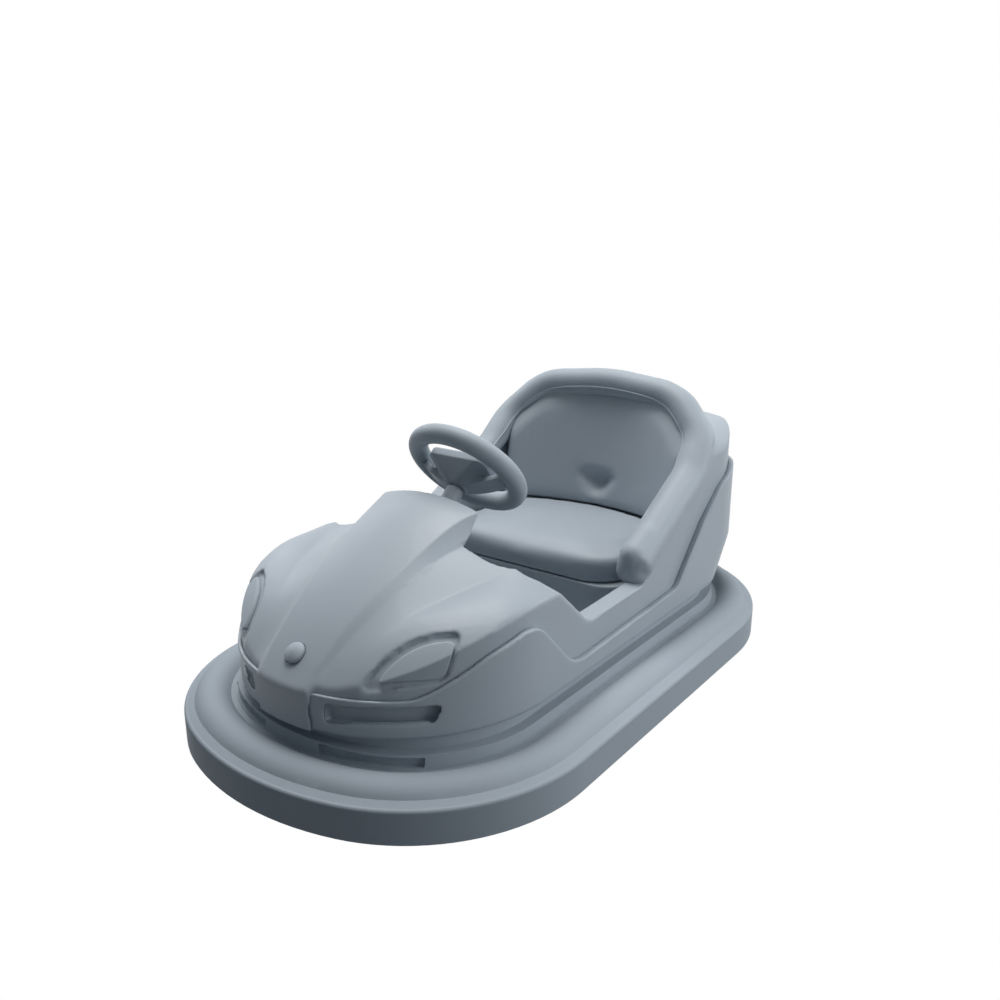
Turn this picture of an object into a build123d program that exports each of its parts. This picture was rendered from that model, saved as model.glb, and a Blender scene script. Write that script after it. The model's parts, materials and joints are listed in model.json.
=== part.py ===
"""One-seat fairground bumper car, modelled piece by piece in millimetres.

Front of the car is -Y, its left side is +X, up is +Z, and the floor is Z = 0
under the middle of the bumper.
"""
import os
from functools import cache
from math import atan2, cos, radians, sin, sqrt, tan

from build123d import *

os.makedirs("parts", exist_ok=True)

# Plan outlines: half width, then nose and tail reach with their corner and end arc radii
PLAN_COLUMNS = ("half_width", "nose", "nose_corner", "nose_arc", "tail", "tail_corner", "tail_arc")
BUMPER_PLAN = dict(zip(PLAN_COLUMNS, (530.5, 900.0, 452.0, 694.0, 900.0, 499.0, 584.0)))
FOOT_PLAN = dict(zip(PLAN_COLUMNS, (400.5, 786.0, 395.0, 500.0, 776.0, 330.0, 520.0)))
WAIST_PLAN = dict(zip(PLAN_COLUMNS, (400.5, 790.0, 395.0, 504.0, 826.0, 252.0, 550.0)))

# Bumper ring, as insets from the outline and heights above the floor
BAND_BOTTOM = 60.0
BAND_TOP = 137.5
BAND_EDGE_R = 8.0
BAND_INNER = 24.5
LEDGE_Z = 145.0
BEAD_CREST_INSET = 66.0
BEAD_CREST_Z = 169.0
BEAD_INNER = 108.0
BEAD_INNER_Z = 150.0
BEAD_BOTTOM = 84.0
RIM_INNER = 121.0
RIM_BOTTOM = 90.0

# Collar and skirt between bumper and body
COLLAR_TOP = 180.0
COLLAR_DRAFT = 5.0
COLLAR_INNER = 160.0
SKIRT_INSET = 152.0
SKIRT_WALL = 6.0
SKIRT_TOP = 222.0
SLOT_X = (84.0, 300.0)
SLOT_Z = (154.0, 175.0)
SLOT_DEPTH = 14.0

# Body mouldings
WALL = 6.0
BODY_BOTTOM = 210.0
WAIST_Z = 330.0
BODY_TOP = 780.0
STEP = 17.0
NOSE_STEP = 9.0
UPPER_PLAN = {name: size - (NOSE_STEP if name == "nose" else STEP) for name, size in WAIST_PLAN.items()}
FLANGE = 20.0
CROWN_HALF = 386.0
CROWN_TOP = 662.0
CROWN_R = 90.0
LEDGE_WIDTH = 48.0
FASCIA_X = (107.0, 316.0)
FASCIA_Z = (236.0, 282.0)
FASCIA_END_LEAN = 12.0
FASCIA_FOOT_RISE = 9.0
FASCIA_TOP_DROP = 3.0
FASCIA_R = 6.0
FASCIA_T = 7.5
FASCIA_DEPTH = 14.0

# Side lines of the lower and upper body, columns: y, z, fillet radius
BELT_LINE = (
    (-676.0, 296.0, 80.0),
    (-543.0, 373.0, 200.0),
    (-421.0, 408.0, 75.0),
    (-265.0, 249.0, 110.0),
    (256.0, 270.0, 50.0),
    (404.0, 422.0, 100.0),
    (520.0, 507.0, 90.0),
    (640.0, 548.0, 90.0),
)
SHOULDER_LINE = (
    (-345.0, 473.0, 1.0),
    (-178.0, 324.0, 60.0),
    (85.0, 329.0, 40.0),
    (148.0, 388.0, 60.0),
    (445.0, 572.0, 25.0),
    (500.0, 700.0, 20.0),
)
PROFILE_END = 960.0
PROFILE_HIGH = 760.0
FRONT_CORNER_R = 1.0

# Hood surface stations: a straight side from foot to valley, then an arc over the fender's crest
HOOD_COLUMNS = ("y", "foot_x", "foot_z", "valley_x", "valley_z", "crest_x", "crest_z", "edge_x", "edge_z")
HOOD_STATIONS = (
    (-840.0, 79.0, 239.0, 112.0, 231.0, 190.0, 214.0, 430.0, 40.0),
    (-744.0, 89.0, 335.0, 125.0, 326.0, 200.0, 311.0, 430.0, 130.0),
    (-640.0, 112.0, 416.0, 168.0, 407.0, 250.0, 394.0, 430.0, 250.0),
    (-530.0, 136.0, 478.0, 214.0, 446.0, 300.0, 441.0, 430.0, 360.0),
    (-400.0, 148.0, 515.0, 264.0, 473.0, 320.0, 464.0, 430.0, 404.0),
    (-150.0, 150.0, 520.0, 285.0, 485.0, 330.0, 474.0, 430.0, 410.0),
)

# Centre panel of the hood, growing into the cowl
PANEL_COLUMNS = ("y", "ridge_x", "ridge_z", "crown_z", "foot_x", "foot_z")
PANEL_STATIONS = (
    (-840.0, 68.0, 247.0, 249.0, 79.0, 239.0),
    (-744.0, 77.0, 345.0, 349.0, 89.0, 335.0),
    (-640.0, 90.0, 428.0, 433.0, 112.0, 416.0),
    (-546.0, 106.0, 484.0, 491.0, 133.0, 471.0),
    (-458.0, 118.0, 527.0, 538.0, 145.0, 505.0),
    (-300.0, 150.0, 578.0, 600.0, 171.0, 538.0),
)
PANEL_WALL = 6.0
PANEL_FLANGE = 30.0
COWL_RAKE = 45.0
COWL_R = 40.0
APRON_HALF = 68.0
APRON_T = 7.0
APRON_TOP = 280.0

# Cockpit opening
OPENING_FRONT = -370.0
OPENING_R = 125.0
OPENING_GAP = 6.0
LINING_WALL = 5.0
LINING_REACH = (-240.0, 500.0)
DASH_Y = -376.0
DASH_T = 5.0
DASH_BOTTOM = 360.0
DASH_HALF = 318.0

# Floor and frame
FLOOR_T = 4.0
FLOOR_TOP = BEAD_INNER_Z
FLOOR_Z = FLOOR_TOP - FLOOR_T
RAIL_X = 200.0
RAIL_W = 40.0
RAIL_H = 30.0
RAIL_WALL = 3.0
RAIL_REACH = (-600.0, 640.0)
CROSS_Y = (-580.0, -230.0, 230.0, 620.0)
BOLT_D = 13.0
BOLT_Y = (-500.0, -100.0, 300.0, 560.0)

# Rear wheels and axle
REAR_WHEEL_R = 70.0
REAR_WHEEL_W = 46.0
REAR_WHEEL_X = 262.0
REAR_WHEEL_Y = 430.0
AXLE_R = 10.0
TYRE_WALL = 20.0
HUB_SIDE = 8.0
BOSS_R = 22.0
BOSS_SIDE = 6.0
AXLE_END = 8.0
BRACKET_T = 10.0
BRACKET_L = 60.0
BRACKET_R = 20.0
RUN_FIT = 0.05

# Drive unit under the nose
DRIVE_Y = -420.0
DRIVE_WHEEL_R = 98.0
DRIVE_WHEEL_W = 60.0
DRIVE_TYRE = 28.0
DRIVE_AXLE_R = 11.0
WHEEL_GAP = 8.0
TURNTABLE_R = 150.0
TURNTABLE_T = 12.0
TURNTABLE_LIFT = 0.3
TURNTABLE_LAP = 15.0
RING_WIDTH = 22.0
RING_H = 14.0
FORK_T = 8.0
FORK_L = 84.0
FORK_EYE_R = 22.0
MOTOR_R = 55.0
MOTOR_L = 150.0
MOTOR_Z = 232.0
MOTOR_BACK = 85.0
CRADLE_W = 40.0
BRIDGE_X = 95.0
BRIDGE_T = 6.0
BRIDGE_W = 40.0
BRIDGE_TOP = 310.0
SPINDLE_R = 13.0
JOINT_R = 19.0
JOINT_GAP = 0.3

# Steering
WHEEL_CENTRE = (0.0, -156.8, 631.0)
WHEEL_RAKE = 48.0
RIM_R = 140.3
RIM_TUBE_R = 25.0
PAD_BACK = 20.0
PAD_SIZE = (176.0, 96.0)
PAD_TOP = 8.0
PAD_BOTTOM = -14.0
BOWL_SIZE = (54.0, 54.0)
BOWL_BOTTOM = -62.0
PAD_CORNER = 26.0
PAD_EDGE_R = 5.0
SPOKE_W = 46.0
SPOKE_T = 18.0
SPOKE_DIP = 52.0
COLUMN_R = 22.5
SHAFT_R = 12.0
COLUMN_GAP = 6.0
COLUMN_END = 310.0

# Seat
CUSHION_TOP = 376.0
SEAT_FRONT = 70.0
SEAT_GAP = 0.4
ROLL_R = 35.0

# Corners of the roll's centre line on its +X side, columns: x, y, z, then its bend radii
ROLL_POINTS = (
    (342.0, 95.0, 380.0),
    (342.0, 400.0, 550.0),
    (330.0, 490.0, 640.0),
    (225.0, 535.0, 745.0),
    (0.0, 550.0, 766.0),
)
ROLL_BENDS = (200.0, 120.0, 140.0, 500.0)
BASE_TOP = 300.0
SEAT_R = 110.0
BASE_WALL = 5.0
SEAT_REAR = 500.0
CUSHION_HALF = 300.0
CUSHION_EDGE_R = 26.0
CUSHION_UNDER = 26.0
BACK_LEAN = 12.0
BACK_Y = 470.0
BACK_R = 520.0
BACK_HALF = 292.0
BACK_RISE = 378.0
PAD_T = 56.0
BACK_SHELL_T = 8.0

# Lamps, badge, pedal and battery
BADGE_Y = -744.0
BADGE_R = 24.0
BADGE_H = 13.0
BADGE_SINK = 6.0
BADGE_DOME = 7.0
LAMP_CENTRE = (268.6, -637.8, 366.9)
LAMP_ALONG = (0.549, 0.703, 0.451)
LAMP_OUTWARD = (0.519, -0.710, 0.476)
LAMP_REACH = 60.0
LAMP_DEPTH = 12.0
LENS_SINK = 2.0

# Leaf outlines in the lamp's own plane: an arc from tip over crown to heel, then the chin
LEAF_COLUMNS = ("tip", "crown", "heel", "chin", "tip_r", "heel_r", "chin_r")
LAMP_LEAF = ((-146.0, 10.0), (-35.0, 50.0), (95.0, 10.0), (22.0, -58.0), 8.0, 14.0, 35.0)
LENS_LEAF = ((-103.0, 9.0), (-30.0, 31.0), (77.0, 0.0), (18.0, -52.0), 5.0, 10.0, 30.0)

# Recess of the tail lamp round the rear corner, in a plane turned from the car's side
TAIL_LAMP_TURN = 30.0
TAIL_LAMP_CENTRE = (168.0, 523.0, 312.0)
TAIL_LAMP_SIZE = (216.0, 36.0)
TAIL_LAMP_LEAN = 22.0
TAIL_LAMP_R = 7.0
TAIL_LAMP_DEPTH = 9.0
PEDAL_X = 232.0
PEDAL_Y = -330.0
PEDAL_SIZE = (90.0, 150.0, 6.0)
PEDAL_TILT = 28.0
PEDAL_HINGE_R = 8.0
PEDAL_GAP = 0.5
BATTERY = (300.0, 240.0, 110.0)

# How far a cutting tool runs past what it cuts
PAST = 5.0
SIDES = (("left", 1), ("right", -1))


def arc_points(shape, inset, end):
    """Tangent points and middles of one end of a plan outline, on its +X side."""
    name = "nose" if end < 0 else "tail"
    corner = shape[name + "_corner"] - inset
    arc = shape[name + "_arc"] - inset
    half = shape["half_width"] - inset
    reach = shape[name] - inset
    centre_x = half - corner
    rise = sqrt((arc - corner) ** 2 - centre_x ** 2)
    centre_y = reach - arc + rise
    turn = atan2(rise, centre_x)
    side = (half, end * centre_y)
    middle = (centre_x + corner * cos(turn / 2), end * (centre_y + corner * sin(turn / 2)))
    join = (arc * cos(turn), end * (reach - arc + arc * sin(turn)))
    return side, middle, join, (0.0, end * reach)


def outline(shape, inset=0.0):
    """Closed wire of a plan outline moved inwards, starting on the +X side at Y = 0."""
    tail_side, tail_middle, tail_join, tail_tip = arc_points(shape, inset, 1)
    nose_side, nose_middle, nose_join, nose_tip = arc_points(shape, inset, -1)
    start = (shape["half_width"] - inset, 0.0)

    def flip(point):
        return (-point[0], point[1])

    return Wire([
        Line(start, tail_side),
        ThreePointArc(tail_side, tail_middle, tail_join),
        ThreePointArc(tail_join, tail_tip, flip(tail_join)),
        ThreePointArc(flip(tail_join), flip(tail_middle), flip(tail_side)),
        Line(flip(tail_side), flip(nose_side)),
        ThreePointArc(flip(nose_side), flip(nose_middle), flip(nose_join)),
        ThreePointArc(flip(nose_join), nose_tip, nose_join),
        ThreePointArc(nose_join, nose_middle, nose_side),
        Line(nose_side, start),
    ])


def plan(shape, inset=0.0, z=0.0):
    """Plan outline as a face at height z."""
    return Face(outline(shape, inset)).moved(Location((0, 0, z)))


def slab(shape, inset, bottom, top):
    """Upright prism on a plan outline."""
    return extrude(plan(shape, inset, bottom), top - bottom, dir=(0, 0, 1))


def ring(edges):
    """Sweep a closed (inset, z) profile once round the bumper outline."""
    face = Face(Wire(edges))
    return sweep(face, path=outline(BUMPER_PLAN))


def at(inset, z):
    """Profile point on the +X side of the bumper at Y = 0."""
    return (BUMPER_PLAN["half_width"] - inset, 0.0, z)


def polygon_edges(points):
    return [Line(a, b) for a, b in zip(points, points[1:] + points[:1])]


@cache
def body_prism(inset, top):
    """Outer form of the body: flares from foot to waist, then stands upright."""
    flare = loft([plan(FOOT_PLAN, inset, BODY_BOTTOM), plan(WAIST_PLAN, inset, WAIST_Z)], ruled=True)
    return flare + slab(WAIST_PLAN, inset, WAIST_Z, top)


SIDE = Plane(origin=(0, 0, 0), x_dir=(0, 1, 0), z_dir=(1, 0, 0))


def moved_rows(rows, drop):
    """Rows of a side line moved inwards, square to each stretch, with their radii to match."""
    ends = [(-PROFILE_END, rows[0][1], 0.0), *rows, (PROFILE_END, rows[-1][1], 0.0)]
    moved = []
    for (y0, z0, _), (y1, z1, radius), (y2, z2, _) in zip(ends, ends[1:], ends[2:]):
        before, after = atan2(z1 - z0, y1 - y0), atan2(z2 - z1, y2 - y1)
        way = (before + after) / 2
        reach = drop / cos((after - before) / 2)
        grown = radius + drop if after > before else radius - drop
        moved.append((y1 + reach * sin(way), z1 - reach * cos(way), max(grown, FRONT_CORNER_R)))
    return moved


def side_cut(line, drop, low, high_front=None):
    """Solid under a side line of (y, z, radius) rows, as wide as the car."""
    rows = list(line)
    if high_front is not None:
        rows = [(rows[0][0], high_front, FRONT_CORNER_R)] + rows
    rows = moved_rows(rows, drop)
    start = (-PROFILE_END, rows[0][1])
    points = [start] + [(y, z) for y, z, r in rows] + [(PROFILE_END, rows[-1][1])]
    top = FilletPolyline(*points, radius=[r for y, z, r in rows])
    base = Polyline(points[-1], (PROFILE_END, low), (-PROFILE_END, low), start)
    face = make_face([top, base])
    return extrude(SIDE * face, BUMPER_PLAN["half_width"], both=True)


def hood_section(row, drop):
    """Closed section of the hood surface at one station."""
    s = dict(zip(HOOD_COLUMNS, row))
    foot = (s["foot_x"], s["y"], s["foot_z"] - drop)
    valley = (s["valley_x"], s["y"], s["valley_z"] - drop)
    crest = (s["crest_x"], s["y"], s["crest_z"] - drop)
    edge = (s["edge_x"], s["y"], s["edge_z"] - drop)

    def flip(p):
        return (-p[0], p[1], p[2])

    low = (s["edge_x"], s["y"], 0.0)
    return Face(Wire([
        ThreePointArc(edge, crest, valley),
        Line(valley, foot),
        Line(foot, flip(foot)),
        Line(flip(foot), flip(valley)),
        ThreePointArc(flip(valley), flip(crest), flip(edge)),
        Line(flip(edge), flip(low)),
        Line(flip(low), low),
        Line(low, edge),
    ]))


@cache
def hood_form(drop):
    """Solid under the hood and fender surface, and under everything behind it."""
    front = loft([hood_section(row, drop) for row in HOOD_STATIONS])
    back_y = HOOD_STATIONS[-1][0]
    back = Pos(0, (back_y + PROFILE_END) / 2, PROFILE_HIGH / 2) * Box(
        2 * BUMPER_PLAN["half_width"], PROFILE_END - back_y, PROFILE_HIGH)
    return front + back


def crown(inset):
    """Bar as long as the car, whose rounded section limits the rear tier's top."""
    section = RectangleRounded(2 * (CROWN_HALF - inset), 2 * (CROWN_TOP - inset), CROWN_R - inset)
    return extrude(Plane.XZ * section, PROFILE_END, both=True)


@cache
def upper_form(inset):
    """Upper body as one solid: upright sides, the hood's surface in front, a round tier behind."""
    return slab(UPPER_PLAN, inset, BODY_BOTTOM, BODY_TOP) & hood_form(inset) & crown(inset)


def panel_section(row, inset):
    """Closed section of the centre panel at one station."""
    s = dict(zip(PANEL_COLUMNS, row))
    ridge = (s["ridge_x"] - inset, s["y"], s["ridge_z"] - inset)
    foot = (s["foot_x"] - inset, s["y"], s["foot_z"] - inset)
    base = (s["foot_x"] - inset, s["y"], s["foot_z"] - inset - PANEL_FLANGE)

    def flip(p):
        return (-p[0], p[1], p[2])

    return Face(Wire([
        Line(base, foot),
        Line(foot, ridge),
        ThreePointArc(ridge, (0.0, s["y"], s["crown_z"] - inset), flip(ridge)),
        Line(flip(ridge), flip(foot)),
        Line(flip(foot), flip(base)),
        Line(flip(base), base),
    ]))


@cache
def panel_form(inset):
    """Centre panel as a solid with round rear corners, moved inwards on its top and sides."""
    form = loft([panel_section(row, inset) for row in PANEL_STATIONS])
    rear = PANEL_STATIONS[-1][0]
    half = PANEL_STATIONS[-1][4] - inset
    length = WAIST_PLAN["nose"]
    corners = Pos(0, rear - length / 2) * RectangleRounded(2 * half, length, COWL_R - inset)
    return form & extrude(corners, BODY_TOP)


def opening(inset, low, high):
    """Cockpit opening as an upright solid, rounded at the front."""
    whole = slab(WAIST_PLAN, STEP + LEDGE_WIDTH + inset, low, high)
    half = WAIST_PLAN["half_width"] - STEP - LEDGE_WIDTH - inset
    front = OPENING_FRONT + inset
    reach = WAIST_PLAN["tail"] - front
    window = Pos(0, front + reach / 2) * Rectangle(2 * half, reach)
    corners = window.vertices().sort_by(Axis.Y)[:2]
    window = fillet(corners, OPENING_R - inset)
    back_r = BACK_R + PAD_T + BACK_SHELL_T + OPENING_GAP
    lean_reach = BACK_RISE * sin(radians(BACK_LEAN))
    back_centre = BACK_Y + PAD_T + BACK_SHELL_T + lean_reach - back_r
    round_back = Pos(0, back_centre, (low + high) / 2) * Cylinder(back_r, high - low)
    return whole & Pos(0, 0, low) * extrude(window, high - low) & round_back


def save(shape, name):
    export_step(shape, f"parts/{name}.step")


def bumper():
    """Rubber band and bead on a steel rim that runs right round the car."""
    edge = BAND_EDGE_R
    save(ring([
        Line(at(0, BAND_BOTTOM), at(0, BAND_TOP - edge)),
        ThreePointArc(at(0, BAND_TOP - edge),
                      at(edge * (1 - cos(radians(45))), BAND_TOP - edge + edge * sin(radians(45))),
                      at(edge, BAND_TOP)),
        Line(at(edge, BAND_TOP), at(BAND_INNER, LEDGE_Z)),
        Line(at(BAND_INNER, LEDGE_Z), at(BAND_INNER, BAND_BOTTOM)),
        Line(at(BAND_INNER, BAND_BOTTOM), at(0, BAND_BOTTOM)),
    ]), "bumper_band")
    save(ring([
        ThreePointArc(at(BAND_INNER, LEDGE_Z), at(BEAD_CREST_INSET, BEAD_CREST_Z),
                      at(BEAD_INNER, BEAD_INNER_Z)),
        Line(at(BEAD_INNER, BEAD_INNER_Z), at(BEAD_INNER, BEAD_BOTTOM)),
        Line(at(BEAD_INNER, BEAD_BOTTOM), at(BAND_INNER, BEAD_BOTTOM)),
        Line(at(BAND_INNER, BEAD_BOTTOM), at(BAND_INNER, LEDGE_Z)),
    ]), "bumper_bead")
    save(ring(polygon_edges([
        at(BEAD_INNER, BEAD_INNER_Z), at(RIM_INNER, BEAD_INNER_Z),
        at(RIM_INNER, RIM_BOTTOM), at(BEAD_INNER, RIM_BOTTOM),
    ])), "bumper_rim")


def collar():
    """Raised plinth that carries the body, slotted at the nose, and the recessed skirt on it."""
    top_inset = RIM_INNER + COLLAR_DRAFT
    plinth = ring(polygon_edges([
        at(RIM_INNER, FLOOR_TOP), at(top_inset, COLLAR_TOP),
        at(COLLAR_INNER, COLLAR_TOP), at(COLLAR_INNER, FLOOR_TOP),
    ]))
    nose = BUMPER_PLAN["nose"]
    width = SLOT_X[1] - SLOT_X[0]
    face = slab(BUMPER_PLAN, 0, SLOT_Z[0], SLOT_Z[1]) - slab(
        BUMPER_PLAN, RIM_INNER + SLOT_DEPTH, SLOT_Z[0], SLOT_Z[1])
    for side in (-1, 1):
        block = Pos(side * (SLOT_X[0] + width / 2), -nose / 2, sum(SLOT_Z) / 2) * Box(
            width, nose, SLOT_Z[1] - SLOT_Z[0])
        plinth -= face & block
    save(plinth, "plinth_collar")
    skirt = slab(BUMPER_PLAN, SKIRT_INSET, COLLAR_TOP, SKIRT_TOP)
    skirt -= slab(BUMPER_PLAN, SKIRT_INSET + SKIRT_WALL, COLLAR_TOP, SKIRT_TOP)
    save(skirt, "skirt")


def fascia_slot(side, grow):
    """Upright prism of one fascia slot, seen from the front, grown by a margin."""
    (x0, x1), (z0, z1) = FASCIA_X, FASCIA_Z
    face = make_face(Polyline(
        (x0, z0), (x1 - FASCIA_END_LEAN, z0 + FASCIA_FOOT_RISE), (x1, z1),
        (x0 + FASCIA_R, z1 - FASCIA_TOP_DROP), close=True))
    face = fillet(face.vertices(), FASCIA_R)
    if grow:
        face = offset(face, grow)
    prism = extrude(Plane.XZ * face, WAIST_PLAN["nose"])
    return prism if side > 0 else mirror(prism, about=Plane.YZ)


def lamp_leaf(side, leaf, grow=0.0):
    """Prism on a leaf outline of a headlamp, square to the lamp's own plane."""
    row = dict(zip(LEAF_COLUMNS, leaf))
    tip, heel, chin = row["tip"], row["heel"], row["chin"]
    face = make_face([ThreePointArc(tip, row["crown"], heel), Line(heel, chin), Line(chin, tip)])
    for name in ("tip", "heel", "chin"):
        corner = face.vertices().sort_by_distance(row[name])[0]
        face = fillet(corner, row[name + "_r"])
    if grow:
        face = offset(face, grow)
    place = Plane(origin=LAMP_CENTRE, x_dir=LAMP_ALONG, z_dir=LAMP_OUTWARD)
    prism = extrude(place * face, LAMP_REACH, both=True)
    return prism if side > 0 else mirror(prism, about=Plane.YZ)


def lamp_sunk(side, depth):
    """Upper body's form moved inwards, square to a headlamp's plane."""
    x, y, z = LAMP_OUTWARD
    return Pos(-side * depth * x, -depth * y, -depth * z) * upper_form(0)


def tail_slot(side, grow=0.0):
    """Prism of a tail lamp's recess, pointing out through a rear corner of the body."""
    half, high = TAIL_LAMP_SIZE[0] / 2, TAIL_LAMP_SIZE[1] / 2
    face = make_face(Polyline(
        (-half, high), (-half + TAIL_LAMP_LEAN, -high), (half, -high), (half, high), close=True))
    face = fillet(face.vertices(), TAIL_LAMP_R)
    if grow:
        face = offset(face, grow)
    turn = radians(TAIL_LAMP_TURN)
    place = Plane(origin=TAIL_LAMP_CENTRE, x_dir=(-cos(turn), sin(turn), 0), z_dir=(sin(turn), cos(turn), 0))
    prism = extrude(place * face, WAIST_PLAN["half_width"])
    return prism if side > 0 else mirror(prism, about=Plane.YZ)


def badge_height():
    """Height of the centre panel's crown under the badge."""
    rows = [(row[0], row[3]) for row in PANEL_STATIONS]
    for (y0, z0), (y1, z1) in zip(rows, rows[1:]):
        if y0 <= BADGE_Y <= y1:
            return z0 + (z1 - z0) * (BADGE_Y - y0) / (y1 - y0)
    return rows[0][1]


def badge_normal():
    """Direction square to the centre panel at the badge."""
    (y0, z0), (y1, z1) = [(row[0], row[3]) for row in PANEL_STATIONS[1:3]]
    return Vector(0, z0 - z1, y1 - y0).normalized()


def body():
    """Lower body, upper body, hood centre panel, fascia inserts, lamps and lining."""
    outer = body_prism(0, BODY_TOP) & side_cut(BELT_LINE, 0, BODY_BOTTOM)
    inner = body_prism(WALL, BODY_TOP) & side_cut(BELT_LINE, WALL, BODY_BOTTOM)
    tray = inner - body_prism(WALL + FASCIA_DEPTH + FASCIA_T, BODY_TOP)
    hollow = inner - body_prism(WALL + FASCIA_DEPTH, BODY_TOP)
    dip = body_prism(0, BODY_TOP) - body_prism(TAIL_LAMP_DEPTH, BODY_TOP)
    for _, side in SIDES:
        inner -= tail_slot(side, WALL) - body_prism(TAIL_LAMP_DEPTH + WALL, BODY_TOP)
    lower = outer - inner - upper_form(0)
    lower += slab(FOOT_PLAN, 0, BODY_BOTTOM, BODY_BOTTOM + WALL / 2) - slab(
        BUMPER_PLAN, SKIRT_INSET, BODY_BOTTOM, BODY_BOTTOM + WALL / 2)
    for name, side in SIDES:
        lower -= fascia_slot(side, 0)
        lower -= dip & tail_slot(side)
        save((tray & fascia_slot(side, FASCIA_R)) - (hollow & fascia_slot(side, 0)),
             f"fascia_insert_{name}")
    save(lower, "body_lower")

    high = PROFILE_HIGH
    shell = upper_form(0) & side_cut(SHOULDER_LINE, 0, BODY_BOTTOM, high)
    core = upper_form(WALL) & side_cut(SHOULDER_LINE, WALL, BODY_BOTTOM, high)
    for _, side in SIDES:
        core -= lamp_leaf(side, LAMP_LEAF, WALL) - lamp_sunk(side, LAMP_DEPTH + WALL)
    upper = shell - core - opening(0, BODY_BOTTOM, BODY_TOP)
    upper -= panel_form(0)
    upper -= side_cut(BELT_LINE, WALL + FLANGE, BODY_BOTTOM - WALL)
    for name, side in SIDES:
        upper -= fascia_slot(side, FASCIA_R + SEAT_GAP)
        floor = lamp_sunk(side, LAMP_DEPTH)
        upper -= lamp_leaf(side, LAMP_LEAF) - floor
        lens = lamp_sunk(side, LENS_SINK) & lamp_leaf(side, LENS_LEAF)
        save(lens - floor, f"headlamp_{name}")
    save(upper, "body_upper")

    front = body_prism(-APRON_T, BODY_TOP)
    panel = (panel_form(0) & front) - (panel_form(PANEL_WALL) & body_prism(0, BODY_TOP))
    reach = WAIST_PLAN["nose"] + APRON_T
    apron = make_face(Polyline((APRON_HALF, -reach), (2 * APRON_HALF, APRON_HALF - reach),
                               (-2 * APRON_HALF, APRON_HALF - reach), (-APRON_HALF, -reach), close=True))
    panel += front & Pos(0, 0, BODY_BOTTOM) * extrude(apron, APRON_TOP - BODY_BOTTOM)
    panel -= outer
    panel -= slab(WAIST_PLAN, 0, BODY_BOTTOM, APRON_TOP)
    cowl_y, cowl_x, cowl_z = PANEL_STATIONS[-1][:3]
    under = Polyline((cowl_y, cowl_z), (cowl_y + cowl_z, cowl_z), (cowl_y + cowl_z, 0.0),
                     (cowl_y - cowl_z / tan(radians(COWL_RAKE)), 0.0), close=True)
    panel -= extrude(SIDE * make_face(under), cowl_x * 2, both=True)
    place = Plane(origin=(0, BADGE_Y, badge_height()), x_dir=(1, 0, 0), z_dir=badge_normal())
    panel -= place * Cylinder(BADGE_R, 2 * BADGE_H)
    save(panel, "hood_panel")
    dome_r = (BADGE_R ** 2 + BADGE_DOME ** 2) / (2 * BADGE_DOME)
    boss = Pos(0, 0, (BADGE_H - BADGE_SINK) / 2) * Cylinder(BADGE_R, BADGE_H + BADGE_SINK)
    boss &= Pos(0, 0, BADGE_H - dome_r) * Sphere(dome_r)
    save(place * boss, "badge_boss")

    wall = opening(0, FLOOR_TOP, BODY_TOP) - opening(LINING_WALL, FLOOR_TOP, BODY_TOP)
    wall &= side_cut(SHOULDER_LINE, WALL, FLOOR_TOP, high)
    half = WAIST_PLAN["half_width"]
    for name, side in SIDES:
        keep = Pos(side * half / 2, sum(LINING_REACH) / 2, BODY_TOP / 2) * Box(
            half, LINING_REACH[1] - LINING_REACH[0], BODY_TOP)
        save(wall & keep & upper_form(WALL), f"side_lining_{name}")


def rod(radius, length, centre, axis):
    """Round bar along X, Y or Z, centred on a point."""
    turn = {"X": (0, 90, 0), "Y": (90, 0, 0), "Z": (0, 0, 0)}[axis]
    return Location(centre, turn) * Cylinder(radius, length)


def tube(radius, inner, length, centre, axis):
    """Round tube along X, Y or Z, centred on a point."""
    return rod(radius, length, centre, axis) - rod(inner, length + 2 * PAST, centre, axis)


def block(x, y, z):
    """Box between (low, high) pairs on each axis."""
    return Pos(sum(x) / 2, sum(y) / 2, sum(z) / 2) * Box(x[1] - x[0], y[1] - y[0], z[1] - z[0])


def frame():
    """Floor pan, welded ladder frame of box rails and cross tubes, and battery."""
    floor = slab(BUMPER_PLAN, RIM_INNER, FLOOR_Z, FLOOR_TOP)
    floor -= rod(TURNTABLE_R - TURNTABLE_LAP, FLOOR_T + 2 * PAST,
                 (0, DRIVE_Y, FLOOR_Z + FLOOR_T / 2), "Z")
    save(floor, "floor_pan")
    low = FLOOR_Z - RAIL_H
    span = RAIL_X - RAIL_W / 2
    inside = (low + RAIL_WALL, FLOOR_Z - RAIL_WALL)
    tubes = []
    for y in CROSS_Y:
        bar = block((-span, span), (y - RAIL_H / 2, y + RAIL_H / 2), (low, FLOOR_Z))
        bar -= block((-span, span), (y - RAIL_H / 2 + RAIL_WALL, y + RAIL_H / 2 - RAIL_WALL), inside)
        tubes.append(bar)
    for _, side in SIDES:
        x = side * RAIL_X
        rail = block((x - RAIL_W / 2, x + RAIL_W / 2), RAIL_REACH, (low, FLOOR_Z))
        rail -= block((x - RAIL_W / 2 + RAIL_WALL, x + RAIL_W / 2 - RAIL_WALL), RAIL_REACH, inside)
        for y in BOLT_Y:
            rail -= rod(BOLT_D / 2, RAIL_WALL + 2 * PAST, (x, y, low + RAIL_WALL / 2), "Z")
        tubes.append(rail)
    weldment = tubes[0]
    for piece in tubes[1:]:
        weldment += piece
    save(weldment, "chassis_frame")
    length, width, height = BATTERY
    middle = (SEAT_FRONT + SEAT_REAR) / 2
    save(block((-length / 2, length / 2), (middle - width / 2, middle + width / 2),
               (FLOOR_TOP, FLOOR_TOP + height)), "battery")


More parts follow.
